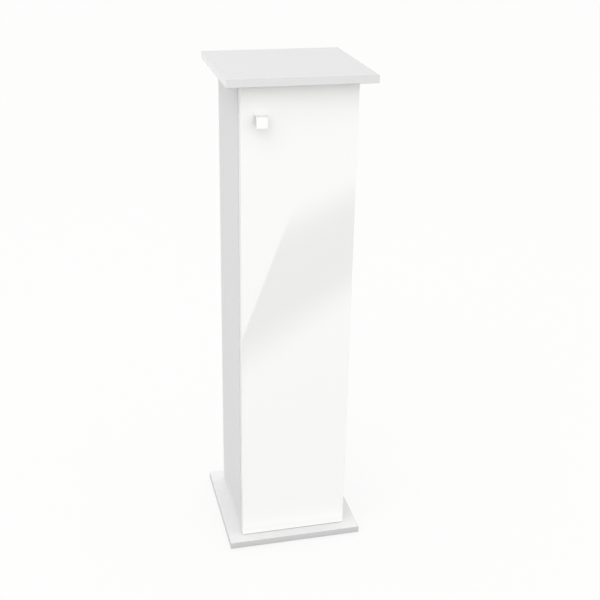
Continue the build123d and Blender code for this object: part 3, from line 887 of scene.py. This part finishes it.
class Rule:
    """A Geometry Nodes tree with named inputs, and one method that adds a node."""

    def __init__(self, name, sizes):
        self.tree = bpy.data.node_groups.new(name, "GeometryNodeTree")
        sockets = self.tree.interface
        sockets.new_socket("Geometry", in_out="INPUT", socket_type="NodeSocketGeometry")
        sockets.new_socket("Geometry", in_out="OUTPUT", socket_type="NodeSocketGeometry")
        self.names = {}
        for title, kind in sizes.items():
            made = sockets.new_socket(title, in_out="INPUT", socket_type=SOCKETS[kind])
            self.names[title] = made.identifier
        self.start = self.tree.nodes.new("NodeGroupInput")
        self.end = self.tree.nodes.new("NodeGroupOutput")

    def given(self, title):
        """The wire of a named input."""
        return Wire(self, self.start.outputs[title])

    def node(self, kind, settings=None, values=(), output=0):
        """Add a node: its settings first, then its sockets by order or by name."""
        prefix = "ShaderNode" if kind in SHADER_KINDS else "GeometryNode"
        made = self.tree.nodes.new(prefix + kind)
        for name, value in (settings or {}).items():
            setattr(made, name, value)
        pairs = values.items() if isinstance(values, dict) else enumerate(values)
        for key, value in pairs:
            self.join(made.inputs[key], value)
        return Wire(self, made.outputs[output])

    def join(self, socket, value):
        """Link a wire, or several, into a socket, or set the socket's own value."""
        if isinstance(value, list):
            for wire in value:
                self.join(socket, wire)
        elif isinstance(value, Wire):
            self.tree.links.new(value.socket, socket)
        else:
            socket.default_value = value

    def close(self, shape):
        """End the tree: make instances real and give the result its finish."""
        real = self.node("RealizeInstances", values=[shape])
        done = self.node("SetMaterial", values={"Geometry": real, "Material": self.given("Finish")})
        self.tree.links.new(done.socket, self.end.inputs[0])


def grown(name, rule, sizes, body, points=(), replaced=()):
    """Run a rule on some points and keep the result as a plain mesh piece."""
    seed = bpy.data.meshes.new(name + "_seed")
    seed.from_pydata([tuple(point) for point in points], [], [])
    piece = bpy.data.objects.new(name, seed)
    bpy.context.scene.collection.objects.link(piece)
    modifier = piece.modifiers.new("rule", "NODES")
    modifier.node_group = rule.tree
    for title, value in sizes.items():
        modifier[rule.names[title]] = value
    graph = bpy.context.evaluated_depsgraph_get()
    mesh = bpy.data.meshes.new_from_object(piece.evaluated_get(graph))
    piece.modifiers.remove(modifier)
    piece.data = mesh
    mesh.name = name
    mesh.shade_smooth()
    mesh.set_sharp_from_angle(angle=GROWN_SHARP)
    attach(piece, body)
    if replaced:
        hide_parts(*replaced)
    print(name, len(mesh.polygons), "faces")
    return piece


# %% [markdown]
# ### Loose shelves
#
# A shelf's edge strip is a profile that runs round the board with mitred corners. Its outer
# arrises are rounded, and its inner ones just eased, which leaves the fine line that shows
# where strip and face meet. The core fills the space inside the strip.

# %% The shelf rule
SHELF_ROUND = 0.7 * MM
SHELF_EASE = 0.10 * MM
ROUND_STEPS = 4
MITRE = math.sqrt(2)


def shelf_rule():
    """A level board with a strip round its edge."""
    sizes = ["Width", "Depth", "Thickness", "Band", "Round", "Ease"]
    inputs = {title: float for title in sizes}
    rule = Rule("banded shelf", {**inputs, "Centre": tuple, "Finish": bpy.types.Material})
    width, depth, thickness, band, rounding, ease = [rule.given(title) for title in sizes]
    route = rule.node("CurvePrimitiveQuadrilateral", values={"Width": width - band, "Height": depth - band})
    route = rule.node("SetCurveNormal", {"mode": "Z_UP"}, {"Curve": route})
    outline = rule.node("CurvePrimitiveQuadrilateral", values={"Width": band, "Height": thickness})
    across = rule.node("SeparateXYZ", values=[rule.node("InputPosition")])
    outer = across.sign() * 0.5 + 0.5
    bend = outer * rounding + (1 - outer) * ease
    values = {"Curve": outline, "Count": ROUND_STEPS, "Radius": bend, "Limit Radius": True}
    outline = rule.node("FilletCurve", {"mode": "POLY"}, values)
    outline = rule.node("Transform", values={"Geometry": outline, "Scale": (MITRE, 1.0, 1.0)})
    strip = rule.node("CurveToMesh", values={"Curve": route, "Profile Curve": outline})
    size = rule.node("CombineXYZ", values=[width - band * 2, depth - band * 2, thickness])
    core = rule.node("MeshCube", values={"Size": size})
    both = rule.node("JoinGeometry", values=[[strip, core]])
    rule.close(rule.node("Transform", values={"Geometry": both, "Translation": rule.given("Centre")}))
    return rule


banded_shelf = shelf_rule()
for level in ("upper", "lower"):
    low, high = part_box(level + "_shelf")
    size = high - low
    sizes = {
        "Width": size.x,
        "Depth": size.y,
        "Thickness": size.z,
        "Band": BAND,
        "Round": SHELF_ROUND,
        "Ease": SHELF_EASE,
        "Centre": tuple((low + high) / 2),
        "Finish": nodes[level + "_shelf"].data.materials[0],
    }
    replaced = [level + "_shelf"]
    grown(level + "_banded_shelf", banded_shelf, sizes, "cabinet", replaced=replaced)

# %% [markdown]
# ### Dowels
#
# A dowel is a beech rod. Its flutes let air and glue out of the blind hole, and its ends taper
# so that it finds the hole. The rule sweeps a fluted outline along the rod and narrows it at
# both ends, then sets one rod on each point that it is given.

# %% Beech and the dowel rule
BEECH = (0.62, 0.42, 0.25, 1.0)
BEECH_DARK = (0.45, 0.27, 0.14, 1.0)
BEECH_RELIEF = 0.05 * MM
BEECH_GRAIN = 900.0
FLECK_GRAIN = 1500.0
DOWEL_RADIUS = 4.0 * MM
DOWEL_FLUTES = 22
DOWEL_FLUTE = 0.35 * MM
DOWEL_TAPER = 2.0 * MM
DOWEL_POINT = 0.82
DOWEL_RINGS = 20


def beech(name, stretch):
    """Straight-grained beech, with its grain along the long side of the stretch."""
    finish = Finish(name)
    grain = finish.noise(BEECH_GRAIN, 4.0, 0.65, stretch)
    flecks = finish.between(finish.cells(FLECK_GRAIN, "Distance", stretch), 0.5, 0.8)
    return finish.shade(
        Base_Color=finish.blend(grain * 0.8 + flecks * 0.2, BEECH, BEECH_DARK),
        Roughness=0.62 + grain * 0.18,
        Normal=finish.bump(grain, BEECH_RELIEF, 0.6),
    )


def dowel_rule():
    """Fluted, tapered rods, one on each point."""
    sizes = {"Length": float, "Radius": float, "Flutes": int, "Flute": float, "Taper": float}
    rule = Rule("fluted dowels", {**sizes, "Rings": int, "Turn": tuple, "Finish": bpy.types.Material})
    length, radius, flutes, flute, taper = [rule.given(title) for title in sizes]
    half = rule.node("CombineXYZ", values=[0.0, 0.0, length / 2])
    other = rule.node("CombineXYZ", values=[0.0, 0.0, length / -2.0])
    line = rule.node("CurvePrimitiveLine", values={"Start": other, "End": half})
    line = rule.node("ResampleCurve", values={"Curve": line, "Count": rule.given("Rings")})
    along = rule.node("SplineParameter", output="Length")
    share = (along.least(length - along) / taper).least(1.0)
    swell = share * (1 - DOWEL_POINT) + DOWEL_POINT
    ring = rule.node("CurvePrimitiveCircle", values={"Resolution": flutes * 2, "Radius": radius})
    shrink = 1 - rule.node("InputIndex") % 2.0 * (flute / radius)
    values = {"Vector": rule.node("InputPosition"), "Scale": shrink}
    spot = rule.node("VectorMath", {"operation": "SCALE"}, values)
    ring = rule.node("SetPosition", values={"Geometry": ring, "Position": spot})
    values = {"Curve": line, "Profile Curve": ring, "Scale": swell, "Fill Caps": True}
    rod = rule.node("CurveToMesh", values=values)
    points = rule.node("MeshToPoints", values=[rule.given("Geometry")])
    values = {"Points": points, "Instance": rod, "Rotation": rule.given("Turn")}
    rule.close(rule.node("InstanceOnPoints", values=values))
    return rule


fluted_dowels = dowel_rule()
upright_beech = beech("upright_beech", ALONG_Z)
level_beech = beech("level_beech", ALONG_X)
dowels_low, dowels_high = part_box("top_dowels")
dowel_length = dowels_high.z - dowels_low.z


def dowel_points(node, axis):
    """The middles of four dowels in a drawn group."""
    low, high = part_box(node)
    inset = [dowel_length / 2 if i == axis else DOWEL_RADIUS for i in range(3)]
    spots = []
    for a in (low.x + inset[0], high.x - inset[0]):
        for b in (low.y + inset[1], high.y - inset[1]):
            spots.append((a, b, (low.z + high.z) / 2))
    return spots


for level in ("top", "base", "shelf"):
    flat = level == "shelf"
    sizes = {
        "Length": dowel_length,
        "Radius": DOWEL_RADIUS,
        "Flutes": DOWEL_FLUTES,
        "Flute": DOWEL_FLUTE,
        "Taper": DOWEL_TAPER,
        "Rings": DOWEL_RINGS,
        "Turn": (0.0, math.pi / 2, 0.0) if flat else (0.0, 0.0, 0.0),
        "Finish": level_beech if flat else upright_beech,
    }
    node = level + "_dowels"
    spots = dowel_points(node, 0 if flat else 2)
    grown(level + "_fluted_dowels", fluted_dowels, sizes, "cabinet", spots, [node])

# %% [markdown]
# ### Panel nails
#
# A row of small nails ties the thin back to the fixed shelf. Only their low domed heads show,
# on the outside of the back panel.

# %% The nail rule
BACK_NAILS = 5
NAIL_DOME_RADIUS = 1.9 * MM
NAIL_DOME = 0.5 * MM
NAIL_FROM_SIDE = 24.0 * MM
NAIL_SIDES = 24
DOME_STEPS = 3
RIM_SHARE = 0.4
SHOULDER = 0.94
CROWN = 0.5


def nail_rule():
    """A row of low domed heads that face +Y."""
    sizes = {"Count": int, "Radius": float, "Height": float, "Start": tuple, "End": tuple}
    rule = Rule("panel nails", {**sizes, "Finish": bpy.types.Material})
    count, radius, height, start, end = [rule.given(title) for title in sizes]
    values = {"Count": count, "Start Location": start, "Offset": end}
    row = rule.node("MeshLine", {"mode": "END_POINTS"}, values)
    rim = rule.node("MeshCone", values={
        "Vertices": NAIL_SIDES,
        "Radius Top": radius * SHOULDER,
        "Radius Bottom": radius,
        "Depth": height * RIM_SHARE,
    })
    dome = rule.node("MeshCone", values={
        "Vertices": NAIL_SIDES,
        "Side Segments": DOME_STEPS,
        "Radius Top": radius * CROWN,
        "Radius Bottom": radius * SHOULDER,
        "Depth": height * (1 - RIM_SHARE),
    })
    lift = rule.node("CombineXYZ", values=[0.0, 0.0, height * RIM_SHARE])
    dome = rule.node("Transform", values={"Geometry": dome, "Translation": lift})
    head = rule.node("JoinGeometry", values=[[rim, dome]])
    turn = (-math.pi / 2, 0.0, 0.0)
    rule.close(rule.node("InstanceOnPoints", values={"Points": row, "Instance": head, "Rotation": turn}))
    return rule


panel_nails = nail_rule()
back_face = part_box("back_panel")[1].y
shelf_low, shelf_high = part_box("fixed_shelf")
nail_height = (shelf_low.z + shelf_high.z) / 2
sizes = {
    "Count": BACK_NAILS,
    "Radius": NAIL_DOME_RADIUS,
    "Height": NAIL_DOME,
    "Start": (shelf_low.x + NAIL_FROM_SIDE, back_face, nail_height),
    "End": (shelf_high.x - NAIL_FROM_SIDE, back_face, nail_height),
    "Finish": metals["screw_steel"],
}
grown("back_nails", panel_nails, sizes, "cabinet")

# %% [markdown]
# ## The two boxes
#
# The drawn box and the shown box are put side by side. They should be the same: the finer
# pieces fill the drawn ones and never reach past them.

# %% Put the sizes side by side
shown_low, shown_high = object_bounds()
sizes = {"cad": [list(drawn_low), list(drawn_high)], "shown": [list(shown_low), list(shown_high)]}
